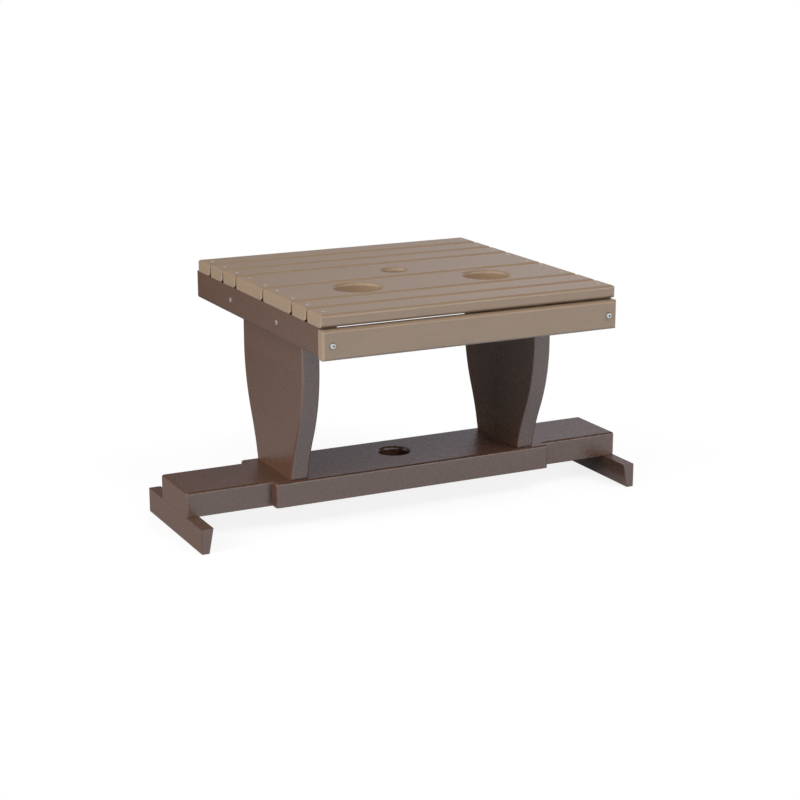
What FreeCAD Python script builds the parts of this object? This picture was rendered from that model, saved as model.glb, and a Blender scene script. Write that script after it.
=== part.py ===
import FreeCAD, Part
import math
import os

from FreeCAD import Vector

# Outdoor side table of recycled plastic lumber, made to stand between two chairs.
# Millimetres. X runs along the base, left to right, Y from front to back and Z up.
# The origin lies on the floor, at the middle of the table's outline.

# Lumber sizes
SLAT_T = 25.4            # top slats and feet
SLAT_NARROW = 63.5
SLAT_WIDE = 133.35
FRAME_T = 38.1           # side rails and legs
RAIL_H = 57.15           # height of the rails and of the apron
APRON_T = 22.2
BASE_T = 50.8

# Top
TOP_L = 635.0            # slats and apron, flush with the outside of the rails
TOP_Z = 488.95           # height of the table
RAIL_L = 629.3
SLAT_GAP = 7.94
SLAT_SETBACK = 10.9      # from the rails' back ends to the back slat
APRON_DROP = 3.2         # slit between the front slat and the apron

# Legs: half widths of the outline, and the heights where its curves meet
LEG_TOP_HALF = 152.4
LEG_SWAY_HALF = 120.0
LEG_FOOT_HALF = 88.0
LEG_STRAIGHT_Z = 340.0
LEG_SWAY_Z = 195.0

# Base
BASE_L = 990.6
BASE_END_W = 146.05
BASE_MID_W = 190.5
BASE_MID_L = 627.4
BASE_Y = 13.0            # the base stands this far behind the middle of the top
FOOT_L = 304.8
FOOT_BOTTOM_T = 15.8     # the inner face slants from the slat thickness to this

# Holes
HOLE_ROUND = 6.35        # rounded rim
UMBRELLA_R = 25.4
UMBRELLA_Y = BASE_Y + 13.0
BASE_HOLE_R = 31.75
CUP_R = 47.625
CUP_X = 144.0
CUP_FLOOR = (146.0, 118.0, 12.7)
DRAIN_R = 4.76

# Rounded edges
SLAT_ROUND = 6.35        # along the slats and over the top of their ends
SLAT_CORNER = 2.5        # upright corners of the ends
BOARD_ROUND = 5.0
FOOT_ROUND = 1.2

# Screws: head radius, head height, shank radius, length, radius of the driver's socket
DECK_SCREW = (4.1, 3.2, 2.1, 50.0, 1.7)
APRON_SCREW = (6.25, 4.2, 3.0, 62.0, 2.4)
LEG_SCREW = (5.4, 2.8, 3.0, 66.0, 2.1)
BASE_SCREW = (7.5, 4.0, 4.0, 100.0, 3.2)
FOOT_SCREW = (4.6, 3.0, 2.5, 70.0, 1.9)
FLOOR_SCREW = (4.0, 2.4, 1.9, 22.0, 1.6)
SCREW_TIP = 6.0          # length of the point
HEAD_FLAT = 0.5          # flat top of a domed head, as a share of its radius
HEAD_BRIM = 0.2          # upright brim of a domed head, as a share of its height
SOCKET_DEPTH = 0.6       # as a share of the head's height
DECK_SINK = 0.3          # the slat screws sit this far below the slats
BASE_SINK = 9.0
FOOT_SINK = 6.0
SINK_ROOM = 0.6          # clearance round a sunk domed head

# Half spacings of the screws
SLAT_SCREW_SPREAD = 40.0
LEG_SCREW_SPREAD = 120.0
BASE_SCREW_SPREAD = 45.0
FOOT_SCREW_SPREAD = 50.0
FLOOR_SCREW_SPREAD = (59.0, 47.0)

# Levels and places that follow from the sizes above
SLAT_Z = TOP_Z - SLAT_T
RAIL_Z = SLAT_Z - RAIL_H
BASE_TOP_Z = 2 * BASE_T
RAIL_BACK_Y = (RAIL_L + APRON_T + APRON_SCREW[1]) / 2
RAIL_FRONT_Y = RAIL_BACK_Y - RAIL_L
APRON_Y = RAIL_FRONT_Y - APRON_T
RAIL_OUT_X = TOP_L / 2
RAIL_IN_X = RAIL_OUT_X - FRAME_T
LEG_IN_X = RAIL_IN_X - FRAME_T
RAIL_MID_Z = RAIL_Z + RAIL_H / 2
END_X = BASE_L / 2
SIDES = {"left": -1, "right": 1}
UP = Vector(0, 0, 1)
DOWN = Vector(0, 0, -1)
FRONT = Vector(0, -1, 0)
TINY = 1e-4

boards = {}
screws = {}


def box(x0, x1, y0, y1, z0, z1):
    """Plain block between two corners, given in any order."""
    low = Vector(min(x0, x1), min(y0, y1), min(z0, z1))
    return Part.makeBox(abs(x1 - x0), abs(y1 - y0), abs(z1 - z0), low)


def rounded(shape, radius, keep):
    """Round the edges of a shape whose bounding box passes a test."""
    return shape.makeFillet(radius, [edge for edge in shape.Edges if keep(edge.BoundBox)])


def arc_leaving(start, tangent, end):
    """Arc that leaves start along a unit tangent and reaches end, and its tangent there."""
    chord = end - start
    along = chord * (1 / chord.Length)
    cosine = tangent.dot(along)
    aside = tangent - along * cosine
    aside.normalize()
    bulge = chord.Length / 2 * math.tan(math.acos(cosine) / 2)
    middle = start + chord * 0.5 + aside * bulge
    return Part.Arc(start, middle, end).toShape(), along * (2 * cosine) - tangent


def holed(shape, x, y, radius, top_z):
    """Drill a board through and round the upper rim of the hole."""
    drilled = shape.cut(Part.makeCylinder(radius, BASE_TOP_Z, Vector(x, y, top_z), DOWN))

    def is_rim(bounds):
        width = bounds.XLength - 2 * radius
        centred = abs(bounds.Center.x - x) + abs(bounds.Center.y - y) < TINY
        return centred and abs(width) < TINY and bounds.ZMin > top_z - TINY

    return rounded(drilled, HOLE_ROUND, is_rim)


def slat_board(y0, y1):
    """Slat rounded along its length and over the top of its ends, which are cut square below."""
    half = TOP_L / 2

    def is_worked(bounds):
        return bounds.ZLength < TINY and (bounds.XLength > TINY or bounds.ZMin > TOP_Z - TINY)

    plank = rounded(box(-half, half, y0, y1, SLAT_Z, TOP_Z), SLAT_ROUND, is_worked)
    column = box(-half, half, y0, y1, RAIL_Z, TOP_Z + RAIL_H)
    return plank.common(rounded(column, SLAT_CORNER, lambda b: b.ZLength > TINY))


def add_slats():
    """Seven slats from back to front: three narrow, two wide, two narrow."""
    widths = {
        "slat_1_back": SLAT_NARROW,
        "slat_2": SLAT_NARROW,
        "slat_3": SLAT_NARROW,
        "slat_4_umbrella": SLAT_WIDE,
        "slat_5_cup_holder": SLAT_WIDE,
        "slat_6": SLAT_NARROW,
        "slat_7_front": SLAT_NARROW,
    }
    centres = {}
    back = RAIL_BACK_Y - SLAT_SETBACK
    for name, width in widths.items():
        boards[name] = slat_board(back - width, back)
        centres[name] = back - width / 2
        back -= width + SLAT_GAP
    boards["slat_4_umbrella"] = holed(boards["slat_4_umbrella"], 0, UMBRELLA_Y, UMBRELLA_R, TOP_Z)
    for x in (-CUP_X, CUP_X):
        cup_slat = boards["slat_5_cup_holder"]
        boards["slat_5_cup_holder"] = holed(cup_slat, x, centres["slat_5_cup_holder"], CUP_R, TOP_Z)
    return widths, centres


def add_rails():
    """Side rails, square on top under the slats and in front where the apron butts against them."""
    for side, sign in SIDES.items():
        rail = box(sign * RAIL_IN_X, sign * RAIL_OUT_X, RAIL_FRONT_Y, RAIL_BACK_Y, RAIL_Z, SLAT_Z)
        boards["side_rail_" + side] = rounded(
            rail, BOARD_ROUND, lambda b: b.YMax > RAIL_FRONT_Y + TINY and b.ZMin < SLAT_Z - TINY)


def add_apron():
    """Front apron, with a slit above it, its face and ends rounded."""
    top = SLAT_Z - APRON_DROP
    apron = box(-RAIL_OUT_X, RAIL_OUT_X, APRON_Y, RAIL_FRONT_Y, top - RAIL_H, top)
    boards["front_apron"] = rounded(apron, BOARD_ROUND, lambda b: b.YMax < APRON_Y + TINY)


def add_legs():
    """Leg boards: straight at the top, a long round shoulder, then a hollow sweep down to the base."""
    for side, sign in SIDES.items():
        x = sign * LEG_IN_X
        edges = []
        for face in (-1, 1):
            shoulder = Vector(x, face * LEG_TOP_HALF, LEG_STRAIGHT_Z)
            sway = Vector(x, face * LEG_SWAY_HALF, LEG_SWAY_Z)
            toe = Vector(x, face * LEG_FOOT_HALF, BASE_TOP_Z)
            upper, tangent = arc_leaving(shoulder, DOWN, sway)
            lower, tangent = arc_leaving(sway, tangent, toe)
            edges += [Part.makeLine(Vector(x, face * LEG_TOP_HALF, SLAT_Z), shoulder), upper, lower]
        for half, level in ((LEG_TOP_HALF, SLAT_Z), (LEG_FOOT_HALF, BASE_TOP_Z)):
            edges.append(Part.makeLine(Vector(x, -half, level), Vector(x, half, level)))
        outline = Part.Face(Part.Wire(Part.__sortEdges__(edges)))
        leg = outline.extrude(Vector(sign * FRAME_T, 0, 0))
        leg = rounded(leg, BOARD_ROUND, lambda b: b.XLength < TINY and b.ZLength > TINY)
        leg.translate(Vector(0, BASE_Y, 0))
        boards["leg_" + side] = leg


def add_base():
    """Base board with narrowed ends, rounded along the top and at its upright corners."""

    def plank(length, width):
        y0 = BASE_Y - width / 2
        block = box(-length / 2, length / 2, y0, y0 + width, BASE_T, BASE_TOP_Z)
        return rounded(block, BOARD_ROUND, lambda b: b.ZMax > BASE_T + TINY)

    notched = plank(BASE_MID_L, BASE_MID_W).fuse(plank(BASE_L, BASE_END_W)).removeSplitter()
    boards["base_board"] = holed(notched, 0, UMBRELLA_Y, BASE_HOLE_R, BASE_TOP_Z)


def add_feet():
    """Cross feet, upright outside and slanted inside, so that they hook over a chair's rail."""
    for side, sign in SIDES.items():
        y = BASE_Y - FOOT_L / 2
        section = [(END_X, 0), (END_X, BASE_T), (END_X - SLAT_T, BASE_T), (END_X - FOOT_BOTTOM_T, 0)]
        corners = [Vector(sign * x, y, z) for x, z in section]
        outline = Part.Face(Part.makePolygon(corners + corners[:1]))
        foot = outline.extrude(Vector(0, FOOT_L, 0))
        boards["foot_" + side] = rounded(foot, FOOT_ROUND, lambda b: b.ZMin < BASE_T - TINY)


def add_cup_floors(cup_y):
    """Plates under the cup holes, each with a drain."""
    length, width, thickness = CUP_FLOOR
    for side, sign in SIDES.items():
        x = sign * CUP_X
        plate = box(x - length / 2, x + length / 2, cup_y - width / 2, cup_y + width / 2,
                    SLAT_Z - thickness, SLAT_Z)
        plate = rounded(plate, BOARD_ROUND, lambda b: b.ZLength > TINY)
        drain = Part.makeCylinder(DRAIN_R, 2 * thickness, Vector(x, cup_y, SLAT_Z - 2 * thickness))
        boards["cup_floor_" + side] = plate.cut(drain)


def turned(edges):
    """Solid turned about Z from the edges of half its section."""
    return Part.Face(Part.Wire(edges)).revolve(Vector(0, 0, 0), UP, 360)


def outline_edges(points):
    """Straight edges through points given as radius and height."""
    corners = [Vector(radius, 0, height) for radius, height in points]
    return [Part.makeLine(a, b) for a, b in zip(corners, corners[1:])]


def flat_screw(sizes):
    """Countersunk screw along Z, head up, with the top of its head at zero."""
    head_r, head_h, shank_r, length, _ = sizes
    return turned(outline_edges([
        (0, 0), (head_r, 0), (shank_r, -head_h), (shank_r, SCREW_TIP - length), (0, -length), (0, 0)]))


def domed_screw(sizes):
    """Button headed screw along Z, head up, with the underside of its head at zero."""
    head_r, head_h, shank_r, length, _ = sizes
    flat_r = head_r * HEAD_FLAT
    brim = head_h * HEAD_BRIM
    dome, _ = arc_leaving(Vector(flat_r, 0, head_h), Vector(1, 0, 0), Vector(head_r, 0, brim))
    below = outline_edges([
        (head_r, brim), (head_r, 0), (shank_r, 0), (shank_r, SCREW_TIP - length), (0, -length),
        (0, head_h), (flat_r, head_h)])
    return turned([dome] + below)


def drive_socket(sizes, corners, top_z):
    """Recess for the driver, with as many corners as the bit."""
    _, head_h, _, _, radius = sizes
    turns = [2 * math.pi * k / corners for k in range(corners + 1)]
    rim = [Vector(radius * math.cos(turn), radius * math.sin(turn), top_z) for turn in turns]
    return Part.Face(Part.makePolygon(rim)).extrude(DOWN * (SOCKET_DEPTH * head_h))


def fasten(name, sizes, make, points, outward, into, sink=0.0):
    """Drive a row of screws, bore the boards that they pass through, and keep them as one node."""
    head_r, head_h = sizes[:2]
    flat = make is flat_screw
    top_z = 0 if flat else head_h
    blank = make(sizes)
    screw = blank.cut(drive_socket(sizes, 4 if flat else 6, top_z))
    bore = blank
    if sink:
        room = 0 if flat else SINK_ROOM
        bore = blank.fuse(Part.makeCylinder(head_r + room, 2 * sink + head_h))
    driven = []
    bores = []
    for point in points:
        place = FreeCAD.Placement(point - outward * sink, FreeCAD.Rotation(UP, outward))
        driven.append(screw.transformed(place.toMatrix()))
        bores.append(bore.transformed(place.toMatrix()))
    screws[name] = Part.makeCompound(driven)
    for board in into:
        boards[board] = boards[board].cut(bores)


def add_screws(widths, centres):
    """All the screws, side by side."""
    rail_x = RAIL_OUT_X - FRAME_T / 2
    leg_x = LEG_IN_X + FRAME_T / 2
    foot_x = END_X - FOOT_BOTTOM_T / 2
    cup_y = centres["slat_5_cup_holder"]
    apron_z = RAIL_MID_Z - APRON_DROP
    pair = (-1, 1)
    slat_rows = []
    for name, width in widths.items():
        spread = (0,) if width == SLAT_NARROW else (-SLAT_SCREW_SPREAD, SLAT_SCREW_SPREAD)
        slat_rows += [centres[name] + offset for offset in spread]
    rails = ["side_rail_" + side for side in SIDES]

    for side, sign in SIDES.items():
        rail = "side_rail_" + side
        leg = "leg_" + side
        fasten("slat_screws_" + side, DECK_SCREW, flat_screw,
               [Vector(sign * rail_x, y, TOP_Z) for y in slat_rows], UP, list(widths) + [rail], DECK_SINK)
        fasten("leg_screws_" + side, LEG_SCREW, domed_screw,
               [Vector(sign * RAIL_OUT_X, BASE_Y + k * LEG_SCREW_SPREAD, RAIL_MID_Z) for k in pair],
               Vector(sign, 0, 0), [rail, leg])
        fasten("leg_base_screws_" + side, BASE_SCREW, domed_screw,
               [Vector(sign * leg_x, BASE_Y + k * BASE_SCREW_SPREAD, BASE_T) for k in pair],
               DOWN, ["base_board", leg], BASE_SINK)
        fasten("foot_screws_" + side, FOOT_SCREW, domed_screw,
               [Vector(sign * foot_x, BASE_Y + k * FOOT_SCREW_SPREAD, 0) for k in (-1, 0, 1)],
               DOWN, ["foot_" + side, "base_board"], FOOT_SINK)
    fasten("apron_screws", APRON_SCREW, domed_screw,
           [Vector(k * rail_x, APRON_Y, apron_z) for k in pair], FRONT, ["front_apron"] + rails)
    floor_points = [
        Vector(sign * CUP_X + i * FLOOR_SCREW_SPREAD[0], cup_y + j * FLOOR_SCREW_SPREAD[1],
               SLAT_Z - CUP_FLOOR[2])
        for sign in pair for i in pair for j in pair]
    fasten("cup_floor_screws", FLOOR_SCREW, domed_screw, floor_points, DOWN,
           ["cup_floor_left", "cup_floor_right", "slat_5_cup_holder"])


slat_widths, slat_centres = add_slats()
add_rails()
add_apron()
add_legs()
add_base()
add_feet()
add_cup_floors(slat_centres["slat_5_cup_holder"])
add_screws(slat_widths, slat_centres)

os.makedirs("parts", exist_ok=True)
for name, shape in {**boards, **screws}.items():
    shape.exportStep("parts/" + name + ".step")
    bounds = shape.BoundBox
    print(name, len(shape.Solids), "solids, valid", shape.isValid(),
          "x %.1f %.1f y %.1f %.1f z %.1f %.1f" % (bounds.XMin, bounds.XMax, bounds.YMin,
                                                 bounds.YMax, bounds.ZMin, bounds.ZMax))
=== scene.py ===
"""Outdoor side table of plastic lumber: finishes for its boards and screws, and the studio around it.

Metres, in the part's own frame: X along the base board, Y from front to back, Z up from the floor.
"""
import logging
import math
from dataclasses import dataclass, replace
from enum import Enum
from typing import Any

import bpy
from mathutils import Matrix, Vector


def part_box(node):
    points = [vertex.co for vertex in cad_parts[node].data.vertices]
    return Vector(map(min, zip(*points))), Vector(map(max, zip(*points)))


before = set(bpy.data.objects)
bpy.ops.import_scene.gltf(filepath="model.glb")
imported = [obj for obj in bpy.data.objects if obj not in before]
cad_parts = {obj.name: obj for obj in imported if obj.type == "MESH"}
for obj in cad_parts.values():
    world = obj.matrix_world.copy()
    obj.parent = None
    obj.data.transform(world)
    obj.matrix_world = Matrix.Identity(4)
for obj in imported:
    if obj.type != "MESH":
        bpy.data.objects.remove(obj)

LOG = logging.getLogger("side_table")
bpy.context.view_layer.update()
MM = 0.001
WHITE = "#FFFFFF"
NOISE_SPREAD = {"From Min": 0.3, "From Max": 0.7}    # most values of a noise texture lie between these
BEVEL_SAMPLES = 6
OCCLUSION_SAMPLES = 8


def linear(colour: str) -> tuple[float, float, float, float]:
    """Turn an sRGB hex colour into the linear one that a shader takes.

    Args:
        colour: a hash sign and six hex digits.

    Returns:
        Linear red, green and blue, and an alpha of one.
    """
    parts = [int(colour[k:k + 2], 16) / 255 for k in (1, 3, 5)]
    red, green, blue = [p / 12.92 if p <= 0.04045 else ((p + 0.055) / 1.055) ** 2.4 for p in parts]
    return red, green, blue, 1.0


def per_metre(size_mm: float) -> float:
    """Scale of a noise texture whose grains are this many millimetres wide."""
    return 1 / (size_mm * MM)


def add_node(tree: bpy.types.NodeTree, kind: str, settings: dict[str, Any] | None = None,
             inputs: dict[str | int, Any] | None = None) -> bpy.types.Node:
    """Add a shader node, set it up and join its inputs.

    Args:
        tree: the node tree that gets the node.
        kind: the node's type, without the word that all shader nodes start with.
        settings: the node's own properties, by name.
        inputs: values or other nodes' outputs for its input sockets, by name or number.

    Returns:
        The new node.
    """
    node = tree.nodes.new("ShaderNode" + kind)
    for name, value in (settings or {}).items():
        setattr(node, name, value)
    for key, value in (inputs or {}).items():
        if isinstance(value, bpy.types.NodeSocket):
            tree.links.new(value, node.inputs[key])
        else:
            node.inputs[key].default_value = value
    return node


def blank_material(name: str) -> bpy.types.Material:
    """Make a material with an empty node tree.

    Args:
        name: the material's name.

    Returns:
        The material.
    """
    material = bpy.data.materials.new(name)
    material.use_nodes = True
    material.node_tree.nodes.clear()
    return material


class Run(Enum):
    """Axis that a board was extruded along, which its die lines follow."""

    ALONG_X = 0
    ALONG_Y = 1
    ALONG_Z = 2


@dataclass(frozen=True)
class PlasticLumber:
    """HDPE lumber, extruded through a cooled die and coloured right through.

    The skin that cools against the die is satin, with a pebbled grain like orange peel and faint lines along the
    board. The pigment is a little uneven, and rubbed edges turn paler. The roughness is that of a satin moulded
    skin, and the IOR, matched to the boards, is a little above the 1.54 of plain polyethylene.
    """

    name: str
    colour: str
    rubbed: str
    roughness: tuple[float, float] = (0.28, 0.40)
    ior: float = 1.60
    shine: float = 1.0           # specular level, matched to the satin skin that the die leaves
    edge_mm: float = 1.4         # softening of the cut edges
    pebble_mm: float = 5.5
    pebble_depth_mm: float = 0.30
    edge_grain: float = 1.0      # share of the pebbles' depth that upright faces have
    pore_mm: float = 2.5         # finer than a pixel, drawn this coarse so that it shows as a grain
    pore_depth_mm: float = 0.10
    line_mm: float = 3.0         # spacing of the die lines
    line_stretch: float = 60.0   # their length over their spacing
    line_depth_mm: float = 0.03
    line_share: float = 0.06     # how far they change the tone
    cloud_mm: float = 70.0       # patches of uneven pigment
    cloud_share: float = 0.05    # how far these change the tone
    rub_edges: tuple[float, float] = (0.505, 0.56)   # pointiness where the rubbing starts and where it is full
    rub_share: float = 0.15      # how far a rubbed edge turns to the paler colour

    def material(self, run: Run) -> bpy.types.Material:
        """Make the finish for boards that lie one way.

        Args:
            run: the axis of the boards' length.

        Returns:
            The material.
        """
        material = blank_material(self.name + "_" + run.name.lower())
        tree = material.node_tree
        place = add_node(tree, "TexCoord").outputs["Object"]
        surface = add_node(tree, "NewGeometry").outputs
        stretch = [1.0, 1.0, 1.0]
        stretch[run.value] = 1 / self.line_stretch
        along = add_node(tree, "Mapping", inputs={"Vector": place, "Scale": stretch}).outputs["Vector"]

        pebbles = add_node(tree, "TexNoise", inputs={
            "Vector": place, "Scale": per_metre(self.pebble_mm), "Detail": 1.0, "Roughness": 0.45})
        pores = add_node(tree, "TexNoise", inputs={
            "Vector": place, "Scale": per_metre(self.pore_mm), "Detail": 1.0})
        lines = add_node(tree, "TexNoise", inputs={
            "Vector": along, "Scale": per_metre(self.line_mm), "Detail": 2.0})
        clouds = add_node(tree, "TexNoise", inputs={
            "Vector": place, "Scale": per_metre(self.cloud_mm), "Detail": 3.0, "Roughness": 0.6})

        tone = add_node(tree, "MapRange", inputs={
            "Value": clouds.outputs[0], **NOISE_SPREAD,
            "To Min": 1 - self.cloud_share / 2, "To Max": 1 + self.cloud_share / 2})
        streak = add_node(tree, "MapRange", inputs={
            "Value": lines.outputs[0], **NOISE_SPREAD,
            "To Min": 1 - self.line_share / 2, "To Max": 1 + self.line_share / 2})
        value = add_node(tree, "Math", {"operation": "MULTIPLY"}, {0: tone.outputs[0], 1: streak.outputs[0]})
        pigment = add_node(tree, "HueSaturation", inputs={
            "Color": linear(self.colour), "Value": value.outputs[0]})
        rub = add_node(tree, "MapRange", inputs={
            "Value": surface["Pointiness"], "From Min": self.rub_edges[0], "From Max": self.rub_edges[1],
            "To Max": self.rub_share})
        colour = add_node(tree, "MixRGB", inputs={
            0: rub.outputs[0], 1: pigment.outputs[0], 2: linear(self.rubbed)})
        gloss = add_node(tree, "MapRange", inputs={
            "Value": pebbles.outputs[0], **NOISE_SPREAD,
            "To Min": self.roughness[0], "To Max": self.roughness[1]})

        eased = add_node(tree, "Bevel", {"samples": BEVEL_SAMPLES}, {"Radius": self.edge_mm * MM})
        facing = add_node(tree, "SeparateXYZ", inputs={0: surface["True Normal"]})
        lying = add_node(tree, "Math", {"operation": "ABSOLUTE"}, {0: facing.outputs["Z"]})
        embossed = add_node(tree, "MapRange", inputs={"Value": lying.outputs[0], "To Min": self.edge_grain})
        grain = add_node(tree, "Bump", inputs={
            "Strength": embossed.outputs[0], "Distance": self.pebble_depth_mm * MM,
            "Height": pebbles.outputs[0], "Normal": eased.outputs[0]})
        for depth_mm, pattern in ((self.pore_depth_mm, pores), (self.line_depth_mm, lines)):
            grain = add_node(tree, "Bump", inputs={
                "Distance": depth_mm * MM, "Height": pattern.outputs[0], "Normal": grain.outputs[0]})
        skin = add_node(tree, "BsdfPrincipled", inputs={
            "Base Color": colour.outputs[0], "Roughness": gloss.outputs[0], "IOR": self.ior,
            "Specular IOR Level": self.shine, "Normal": grain.outputs[0]})
        add_node(tree, "OutputMaterial", inputs={"Surface": skin.outputs[0]})
        return material


@dataclass(frozen=True)
class ScrewSteel:
    """Cold headed steel screws, bare stainless, or with a coat of zinc flake or epoxy.

    Tumbled stainless has a soft shine with fine pits and duller patches. A zinc flake coat is part binder, so it
    is less metallic and scatters more, and a baked epoxy coat hides the metal. The socket and the seat of the head
    are darkened with painted shade. The IOR stays at the default.
    """

    name: str
    colour: str
    dull: str
    metallic: float = 1.0
    roughness: tuple[float, float] = (0.22, 0.42)
    pit_mm: float = 0.7          # finer in truth, drawn this coarse so that it shows
    pit_depth_mm: float = 0.02
    patch_mm: float = 4.0
    # colour of the painted shade in the socket and at the seat of the head
    painted_shade: str = "#3B3733"
    film_mm: float = 3.0         # how far from a corner the painted shade reaches
    painted_shade_open: tuple[float, float] = (0.25, 0.7)     # open share of the view where the painted shade is full and where it ends

    def material(self) -> bpy.types.Material:
        """Make the finish.

        Returns:
            The material.
        """
        material = blank_material(self.name)
        tree = material.node_tree
        place = add_node(tree, "TexCoord").outputs["Object"]
        pits = add_node(tree, "TexNoise", inputs={
            "Vector": place, "Scale": per_metre(self.pit_mm), "Detail": 2.0})
        patches = add_node(tree, "TexNoise", inputs={
            "Vector": place, "Scale": per_metre(self.patch_mm), "Detail": 3.0})
        metal = add_node(tree, "MixRGB", inputs={
            0: patches.outputs[0], 1: linear(self.colour), 2: linear(self.dull)})
        # painted shade: darker where less of the view is open, in the socket and at the seat of the head
        open_air = add_node(tree, "AmbientOcclusion", {"samples": OCCLUSION_SAMPLES}, {
            "Distance": self.film_mm * MM})
        painted_shade_share = add_node(tree, "MapRange", inputs={
            "Value": open_air.outputs["AO"], "From Min": self.painted_shade_open[0], "From Max": self.painted_shade_open[1],
            "To Min": 1.0, "To Max": 0.0})
        colour = add_node(tree, "MixRGB", inputs={
            0: painted_shade_share.outputs[0], 1: metal.outputs[0], 2: linear(self.painted_shade)})
        gloss = add_node(tree, "MapRange", inputs={
            "Value": patches.outputs[0], **NOISE_SPREAD,
            "To Min": self.roughness[0], "To Max": self.roughness[1]})
        pitted = add_node(tree, "Bump", inputs={
            "Distance": self.pit_depth_mm * MM, "Height": pits.outputs[0]})
        steel = add_node(tree, "BsdfPrincipled", inputs={
            "Base Color": colour.outputs[0], "Metallic": self.metallic, "Roughness": gloss.outputs[0],
            "Normal": pitted.outputs[0]})
        add_node(tree, "OutputMaterial", inputs={"Surface": steel.outputs[0]})
        return material


# Slats and apron: a soft, pale skin with little grain.
TAN_LUMBER = PlasticLumber("hdpe_lumber_weathered_tan", colour="#988068", rubbed="#A9917A")
# Base board and feet: glossier, with broad pebbles that show on the lying faces.
BROWN_LUMBER = PlasticLumber("hdpe_lumber_chestnut_brown", colour="#563929", rubbed="#674938",
                             roughness=(0.26, 0.36), edge_mm=2.0, pebble_mm=8.0, pebble_depth_mm=0.75,
                             edge_grain=0.5, pore_depth_mm=0.05)
# Rails and legs: the same colour with a flatter grain.
CALM_BROWN_LUMBER = replace(BROWN_LUMBER, name="hdpe_lumber_chestnut_brown_calm", pebble_mm=6.0,
                            pebble_depth_mm=0.45)
# Domed apron screws and the hidden ones: bright dots with a dark socket, partly real shade and partly painted
# shade.
TUMBLED_STEEL = ScrewSteel("stainless_steel_tumbled", colour="#D6D6D4", dull="#B4B3B0")
# Rail screws: greyer and matt.
COATED_STEEL = ScrewSteel("zinc_flake_coated_steel", colour="#B3ABA1", dull="#968E84", metallic=0.35,
                          roughness=(0.45, 0.60))
# Slat screws: small sandy dots, a little paler than the slats.
SAND_STEEL = ScrewSteel("epoxy_coated_steel_sand", colour="#E8DFD3", dull="#D2C8BB", metallic=0.0,
                        roughness=(0.40, 0.55))


def dress(names: tuple[str, ...], material: bpy.types.Material) -> None:
    """Put one finish on the whole of some CAD nodes.

    Args:
        names: the nodes.
        material: the finish.
    """
    for name in names:
        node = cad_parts[name]
        if not node.material_slots:
            node.data.materials.append(material)
        for slot in node.material_slots:
            slot.material = material
        low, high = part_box(name)
        size = [round((b - a) / MM) for a, b in zip(low, high)]
        LOG.info("%s: %s, %s mm", name, material.name, " x ".join(map(str, size)))


@dataclass
class SlattedTop:
    """Seven slats with the cup and umbrella holes, the apron in front and the plates under the cups."""

    slats: tuple[str, ...] = ("slat_1_back", "slat_2", "slat_3", "slat_4_umbrella", "slat_5_cup_holder",
                              "slat_6", "slat_7_front")
    apron: tuple[str, ...] = ("front_apron",)
    cup_floors: tuple[str, ...] = ("cup_floor_left", "cup_floor_right")

    def dress(self) -> None:
        """Give the boards their finish."""
        dress(self.slats + self.apron + self.cup_floors, TAN_LUMBER.material(Run.ALONG_X))


@dataclass
class SideFrames:
    """Rails under the ends of the slats, and the shaped legs that carry them."""

    rails: tuple[str, ...] = ("side_rail_left", "side_rail_right")
    legs: tuple[str, ...] = ("leg_left", "leg_right")

    def dress(self) -> None:
        """Give the boards their finish."""
        dress(self.rails, CALM_BROWN_LUMBER.material(Run.ALONG_Y))
        dress(self.legs, CALM_BROWN_LUMBER.material(Run.ALONG_Z))


@dataclass
class Base:
    """Notched base board and its two cross feet."""

    board: tuple[str, ...] = ("base_board",)
    feet: tuple[str, ...] = ("foot_left", "foot_right")

    def dress(self) -> None:
        """Give the boards their finish."""
        dress(self.board, BROWN_LUMBER.material(Run.ALONG_X))
        dress(self.feet, BROWN_LUMBER.material(Run.ALONG_Y))


@dataclass
class Screws:
    """All the screws, shown and hidden."""

    bright: tuple[str, ...] = ("apron_screws", "leg_base_screws_left", "leg_base_screws_right",
                               "foot_screws_left", "foot_screws_right", "cup_floor_screws")
    coated: tuple[str, ...] = ("leg_screws_left", "leg_screws_right")
    sand: tuple[str, ...] = ("slat_screws_left", "slat_screws_right")

    def dress(self) -> None:
        """Give the screws their finishes."""
        dress(self.bright, TUMBLED_STEEL.material())
        dress(self.coated, COATED_STEEL.material())
        dress(self.sand, SAND_STEEL.material())


@dataclass(frozen=True)
class SoftBox:
    """Square studio lamp that faces the table.

    The azimuth is 0 in front of the table and grows towards its right. The level is what a white card facing
    the lamp at the table would show, so that the lamps together light a colour about as it is written.
    """

    name: str
    azimuth: float
    elevation: float
    level: float
    size: float = 4.0
    distance: float = 7.0
    mirrored: bool = False       # whether reflections show it, as a highlight

    def build(self, target: Vector) -> None:
        """Hang the lamp.

        Args:
            target: the point that it faces.
        """
        turn, rise = math.radians(self.azimuth), math.radians(self.elevation)
        back = Vector((math.sin(turn) * math.cos(rise), -math.cos(turn) * math.cos(rise), math.sin(rise)))
        lamp = bpy.data.lights.new(self.name, "AREA")
        lamp.shape = "SQUARE"
        lamp.size = self.size
        lamp.energy = self.level * (math.pi * self.distance) ** 2
        lamp.cycles.use_multiple_importance_sampling = self.mirrored   # stray rays to a hidden lamp leave pale dots
        holder = bpy.data.objects.new(self.name, lamp)
        holder.location = target + back * self.distance
        holder.rotation_euler = (-back).to_track_quat("-Z", "Y").to_euler()
        holder.visible_camera = False
        holder.visible_glossy = self.mirrored
        bpy.context.scene.collection.objects.link(holder)
        LOG.info("lamp %s: level %.2f", self.name, self.level)


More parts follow.
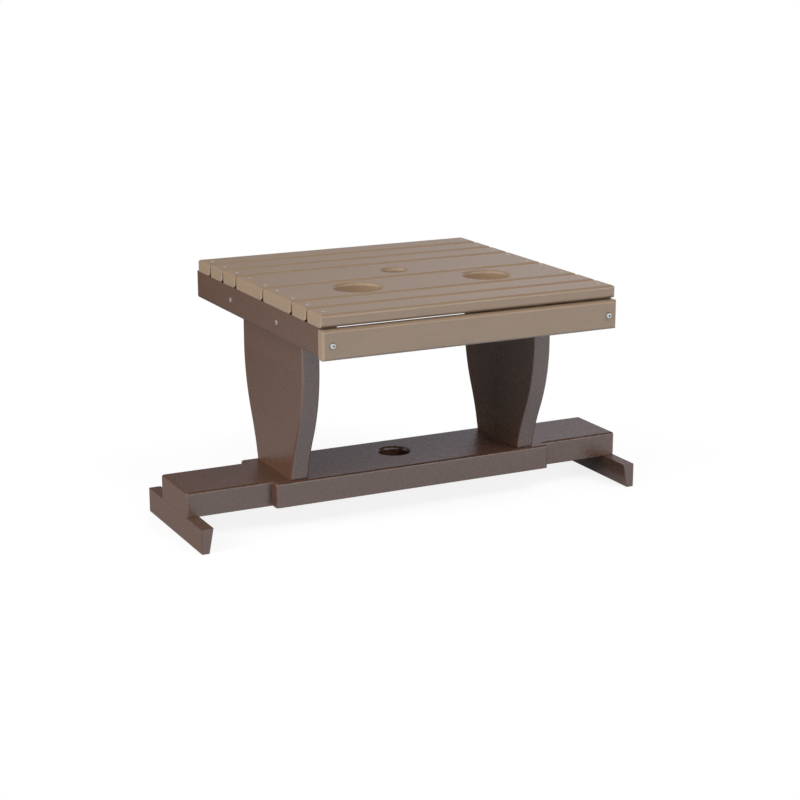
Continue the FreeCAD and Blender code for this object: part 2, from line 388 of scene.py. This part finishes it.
def hang(name: str, corners: list[tuple[float, float, float]], faces: list[tuple[int, ...]],
         material: bpy.types.Material) -> None:
    """Add a cloth of the studio that only shows in reflections.

    Args:
        name: the cloth's name.
        corners: its points.
        faces: its faces, as numbers of the points.
        material: its finish.
    """
    mesh = bpy.data.meshes.new(name)
    mesh.from_pydata(corners, [], faces)
    mesh.materials.append(material)
    cloth = bpy.data.objects.new(name, mesh)
    for ray in ("camera", "diffuse", "transmission", "volume_scatter", "shadow"):
        setattr(cloth, "visible_" + ray, False)
    bpy.context.scene.collection.objects.link(cloth)


@dataclass(frozen=True)
class PaintedReflectionFelt:
    """Grey wool felt, pressed a little unevenly, which shows as a soft mottle.

    Only reflections show it, so it glows in its tone as seen and takes no light: it is a painted reflection on the
    boards.
    """

    mottle_mm: float = 3.0
    mottle: tuple[float, float] = (0.9, 1.1)

    def cover(self, material: bpy.types.Material, place: bpy.types.NodeSocket,
              tone: bpy.types.NodeSocket) -> None:
        """Finish a material as felt.

        Args:
            material: the material, with the nodes that give the tone.
            place: output with the place on the cloth.
            tone: output with the felt's tone at that place.
        """
        material.cycles.emission_sampling = "NONE"   # it is only looked at, so no light is drawn from it
        tree = material.node_tree
        fibres = add_node(tree, "TexNoise", inputs={
            "Vector": place, "Scale": per_metre(self.mottle_mm), "Detail": 2.0})
        tint = add_node(tree, "MapRange", inputs={
            "Value": fibres.outputs[0], "To Min": self.mottle[0], "To Max": self.mottle[1]})
        # painted reflection: the felt glows in its set tone instead of taking light
        glow = add_node(tree, "Emission", inputs={"Color": tone, "Strength": tint.outputs[0]})
        add_node(tree, "OutputMaterial", inputs={"Surface": glow.outputs[0]})


@dataclass(frozen=True)
class GradedCloth:
    """Studio cloth on the floor behind and beside the table and up a stand.

    It is dark on the floor, paler there to the left, and on the stand grey at the left and pale at the right. It
    only shows in reflections, where it glows as a painted reflection that keeps the white surroundings from
    washing out the boards' colour.
    """

    name: str = "painted_reflection_cloth"
    felt: PaintedReflectionFelt = PaintedReflectionFelt()
    left: float = -2.0
    beside: float = -0.4955      # outside of the left foot
    under: float = 0.46          # inside of the right foot
    right: float = 3.0
    front: float = -0.33         # its front edge beside the left foot
    slant: tuple[float, float] = (-1.2, 0.6)         # that edge runs back to here
    near: float = -0.12          # its front edge under the base board
    far: float = 1.9             # the stand
    height: float = 1.7
    lift: float = 0.002
    # tones that the cloth glows in, which paint its reflections on the boards
    laid: str = "#484848"                            # tone of the part on the floor
    faded: str = "#9A9A9A"                           # paler tone of its left part
    fading: tuple[float, float] = (-0.16, 0.06)      # where that ends, along X at the middle of the table
    fading_slant: float = 0.5                        # how far the line moves left, for each metre to the back
    hung: tuple[str, str] = ("#646466", "#D8D8E4")   # tones of the part on the stand, left and right
    grading: tuple[float, float] = (-0.2, 1.5)       # where they turn, along X
    rise: tuple[float, float] = (0.1, 0.4)           # heights between which the one part turns to the other
    lower_share: float = 0.55                        # how far it turns there
    upper_rise: tuple[float, float] = (0.8, 1.05)    # heights where it turns the rest of the way

    def material(self) -> bpy.types.Material:
        """Make the cloth's felt, with its tones.

        Returns:
            The material.
        """
        material = blank_material("painted_reflection_graded_grey")
        tree = material.node_tree
        place = add_node(tree, "TexCoord").outputs["Object"]
        axes = add_node(tree, "SeparateXYZ", inputs={0: place}).outputs
        across = add_node(tree, "VectorMath", {"operation": "DOT_PRODUCT"}, {
            0: place, 1: (1.0, self.fading_slant, 0.0)})
        fade = add_node(tree, "MapRange", inputs={
            "Value": across.outputs["Value"], "From Min": self.fading[0], "From Max": self.fading[1]})
        laid = add_node(tree, "MixRGB", inputs={
            0: fade.outputs[0], 1: linear(self.faded), 2: linear(self.laid)})
        turn = add_node(tree, "MapRange", inputs={
            "Value": axes["X"], "From Min": self.grading[0], "From Max": self.grading[1]})
        hung = add_node(tree, "MixRGB", inputs={
            0: turn.outputs[0], 1: linear(self.hung[0]), 2: linear(self.hung[1])})
        lower = add_node(tree, "MapRange", inputs={
            "Value": axes["Z"], "From Min": self.rise[0], "From Max": self.rise[1],
            "To Max": self.lower_share})
        upper = add_node(tree, "MapRange", inputs={
            "Value": axes["Z"], "From Min": self.upper_rise[0], "From Max": self.upper_rise[1],
            "To Max": 1 - self.lower_share})
        up = add_node(tree, "Math", {"operation": "ADD"}, {0: lower.outputs[0], 1: upper.outputs[0]})
        tone = add_node(tree, "MixRGB", inputs={0: up.outputs[0], 1: laid.outputs[0], 2: hung.outputs[0]})
        self.felt.cover(material, place, tone.outputs[0])
        return material

    def build(self) -> None:
        """Lay and hang the cloth."""
        flat = [self.slant, (self.beside, self.front), (self.beside, self.near),
                (self.under, self.near), (self.under, self.far), (self.right, self.far), (self.left, self.far)]
        corners = [(x, y, self.lift) for x, y in flat]
        corners += [(self.right, self.far, self.height), (self.left, self.far, self.height)]
        hang(self.name, corners, [(0, 1, 2, 3, 4, 6), (6, 5, 7, 8)], self.material())


@dataclass(frozen=True)
class Canopy:
    """Dark cloth over the table, from the top of the stand to above the front, and paler to the left.

    It only shows in reflections, where it glows as a painted reflection that keeps the rounded edges of the
    boards in their own colour.
    """

    name: str = "canopy"
    felt: PaintedReflectionFelt = PaintedReflectionFelt()
    left: float = -1.5
    right: float = 7.0
    back: tuple[float, float] = (1.9, 1.7)           # Y and Z of its back edge
    front: tuple[float, float] = (-3.0, 2.6)         # and of its front edge
    # the tone it glows in, a painted dark reflection
    tone: str = "#505050"
    fading: tuple[float, float] = (-1.5, 0.0)        # it turns from white to its tone between these, along X

    def material(self) -> bpy.types.Material:
        """Make the canopy's felt, with its tones.

        Returns:
            The material.
        """
        material = blank_material("painted_reflection_dark_grey")
        tree = material.node_tree
        place = add_node(tree, "TexCoord").outputs["Object"]
        axes = add_node(tree, "SeparateXYZ", inputs={0: place}).outputs
        turn = add_node(tree, "MapRange", {"interpolation_type": "SMOOTHSTEP"}, {
            "Value": axes["X"], "From Min": self.fading[0], "From Max": self.fading[1]})
        tone = add_node(tree, "MixRGB", inputs={0: turn.outputs[0], 1: linear(WHITE), 2: linear(self.tone)})
        self.felt.cover(material, place, tone.outputs[0])
        return material

    def build(self) -> None:
        """Hang the canopy."""
        corners = [(x, *edge) for edge in (self.back, self.front) for x in (self.left, self.right)]
        hang(self.name, corners, [(0, 1, 3, 2)], self.material())


def looked_at(tree: bpy.types.NodeTree) -> bpy.types.NodeSocket:
    """Add nodes that tell what is seen straight on from what is not.

    Args:
        tree: the node tree that gets the nodes.

    Returns:
        Output that is one for rays from the camera and through glass, and zero for the others.
    """
    rays = add_node(tree, "LightPath").outputs
    return add_node(tree, "Math", {"operation": "MAXIMUM"}, {
        0: rays["Is Camera Ray"], 1: rays["Is Transmission Ray"]}).outputs[0]


@dataclass(frozen=True)
class PaperFloor:
    """White seamless paper on the floor, matt, with barely visible clouds of fibre.

    The camera sees it white, with a pale shadow near the table. Reflections show it as the lamps light it, with
    the table's shadow, and it throws back plain soft light.
    """

    name: str = "studio_floor"
    half: float = 40.0
    gap: float = 0.0004          # keeps its plane off the undersides of the feet
    colour: str = "#6E6E6E"      # what it throws back
    fibre_mm: float = 40.0
    fibre_tint: tuple[float, float] = (0.985, 1.0)
    shown: str = "#808080"       # what takes the shadow that the camera sees
    glow: float = 0.84           # and what lifts it to white
    shadow_reach: tuple[float, float] = (0.6, 1.5)   # the shadow fades out between these distances
    mirrored: str = "#EEF1F8"    # what reflections show
    haze: float = 0.1            # and the even glow that lifts the shadow there

    def material(self) -> bpy.types.Material:
        """Make the paper.

        Returns:
            The material.
        """
        material = blank_material("seamless_paper_white")
        material.cycles.emission_sampling = "NONE"   # its glow is only looked at, so no light is drawn from it
        tree = material.node_tree
        place = add_node(tree, "TexCoord").outputs["Object"]
        fibres = add_node(tree, "TexNoise", inputs={
            "Vector": place, "Scale": per_metre(self.fibre_mm), "Detail": 3.0})
        tint = add_node(tree, "MapRange", inputs={
            "Value": fibres.outputs[0], **NOISE_SPREAD,
            "To Min": self.fibre_tint[0], "To Max": self.fibre_tint[1]})
        paper = add_node(tree, "HueSaturation", inputs={
            "Color": linear(self.colour), "Value": tint.outputs[0]})
        bounce = add_node(tree, "BsdfDiffuse", inputs={"Color": paper.outputs[0]})

        lit = add_node(tree, "BsdfDiffuse", inputs={"Color": linear(self.mirrored)})
        haze = add_node(tree, "Emission", inputs={"Strength": self.haze})
        mirrored = add_node(tree, "AddShader", inputs={0: lit.outputs[0], 1: haze.outputs[0]})
        other = add_node(tree, "MixShader", inputs={
            0: add_node(tree, "LightPath").outputs["Is Glossy Ray"], 1: bounce.outputs[0],
            2: mirrored.outputs[0]})

        shade = add_node(tree, "BsdfDiffuse", inputs={"Color": linear(self.shown)})
        glow = add_node(tree, "Emission", inputs={"Strength": self.glow})
        near = add_node(tree, "AddShader", inputs={0: shade.outputs[0], 1: glow.outputs[0]})
        far = add_node(tree, "Emission", inputs={"Strength": 1.0})
        away = add_node(tree, "VectorMath", {"operation": "LENGTH"}, {0: place})
        fade = add_node(tree, "MapRange", {"interpolation_type": "SMOOTHSTEP"}, {
            "Value": away.outputs["Value"], "From Min": self.shadow_reach[0], "From Max": self.shadow_reach[1]})
        shown = add_node(tree, "MixShader", inputs={0: fade.outputs[0], 1: near.outputs[0], 2: far.outputs[0]})

        mixed = add_node(tree, "MixShader", inputs={
            0: looked_at(tree), 1: other.outputs[0], 2: shown.outputs[0]})
        add_node(tree, "OutputMaterial", inputs={"Surface": mixed.outputs[0]})
        return material

    def build(self) -> None:
        """Lay the floor."""
        signs = ((-1, -1), (1, -1), (1, 1), (-1, 1))
        corners = [(x * self.half, y * self.half, -self.gap) for x, y in signs]
        mesh = bpy.data.meshes.new(self.name)
        mesh.from_pydata(corners, [], [(0, 1, 2, 3)])
        mesh.materials.append(self.material())
        floor = bpy.data.objects.new(self.name, mesh)
        bpy.context.scene.collection.objects.link(floor)


@dataclass(frozen=True)
class Viewpoint:
    """Camera at the left front, a little above the table."""

    eye: tuple[float, float, float] = (-1.6572, -3.3048, 1.1904)
    azimuth: float = -26.654
    elevation: float = 14.731    # how far it looks down
    focal_px: float = 1837.3     # for a picture of the width below
    picture_px: float = 800.0
    film_mm: float = 36.0
    reach: float = 200.0         # past the far edge of the floor

    def build(self) -> None:
        """Stand the camera up."""
        lens = bpy.data.cameras.new("camera")
        lens.sensor_width = self.film_mm
        lens.sensor_fit = "HORIZONTAL"
        lens.lens = self.film_mm * self.focal_px / self.picture_px
        lens.clip_end = self.reach
        camera = bpy.data.objects.new("camera", lens)
        camera.location = self.eye
        camera.rotation_euler = (math.radians(90 - self.elevation), 0.0, math.radians(self.azimuth))
        bpy.context.scene.collection.objects.link(camera)
        bpy.context.scene.camera = camera


@dataclass
class Studio:
    """White floor, soft lamps, white surroundings, the two cloths and the camera."""

    lamps: tuple[SoftBox, ...] = (
        SoftBox("lamp_left", -90.0, 10.0, 0.86, size=5.0, distance=8.0),
        SoftBox("lamp_left_high", -75.0, 35.0, 0.26, distance=8.0),
        SoftBox("lamp_front_left", -35.0, 45.0, 0.21, distance=8.0),
        SoftBox("lamp_front_right", 38.0, 38.0, 0.35, size=5.0),
        SoftBox("lamp_front_high", 30.0, 55.0, 0.23, distance=8.0),
        SoftBox("lamp_front_low", 28.0, 20.0, 0.07, size=3.0, mirrored=True),   # the line along the front edges
        SoftBox("lamp_back", 160.0, 12.0, 0.55, size=2.6),
    )
    target: tuple[float, float, float] = (0.0, 0.0, 0.28)
    ambient: float = 0.02
    floor: PaperFloor = PaperFloor()
    cloth: GradedCloth = GradedCloth()
    canopy: Canopy = Canopy()
    viewpoint: Viewpoint = Viewpoint()

    def build_world(self) -> None:
        """White surroundings to look at and in reflections, with a weak even light of their own."""
        world = bpy.data.worlds.new("studio_surroundings")
        world.use_nodes = True
        world.cycles.sampling_method = "NONE"   # the white is only looked at, so no light is drawn from it
        tree = world.node_tree
        tree.nodes.clear()
        light = add_node(tree, "Background", inputs={"Color": linear(WHITE), "Strength": self.ambient})
        show = add_node(tree, "Background", inputs={"Color": linear(WHITE), "Strength": 1.0})
        shown = add_node(tree, "Math", {"operation": "MAXIMUM"}, {
            0: looked_at(tree), 1: add_node(tree, "LightPath").outputs["Is Glossy Ray"]})
        mixed = add_node(tree, "MixShader", inputs={0: shown.outputs[0], 1: light.outputs[0], 2: show.outputs[0]})
        add_node(tree, "OutputWorld", inputs={"Surface": mixed.outputs[0]})
        bpy.context.scene.world = world

    def build(self) -> None:
        """Build the whole studio."""
        bpy.context.scene.view_settings.view_transform = "Standard"
        self.floor.build()
        self.build_world()
        for lamp in self.lamps:
            lamp.build(Vector(self.target))
        self.cloth.build()
        self.canopy.build()
        self.viewpoint.build()


def main() -> None:
    """Dress the table from the top down, then build the studio."""
    logging.basicConfig(level=logging.INFO, format="%(message)s")
    for assembly in (SlattedTop(), SideFrames(), Base(), Screws()):
        assembly.dress()
    Studio().build()


if __name__ == "__main__":
    main()
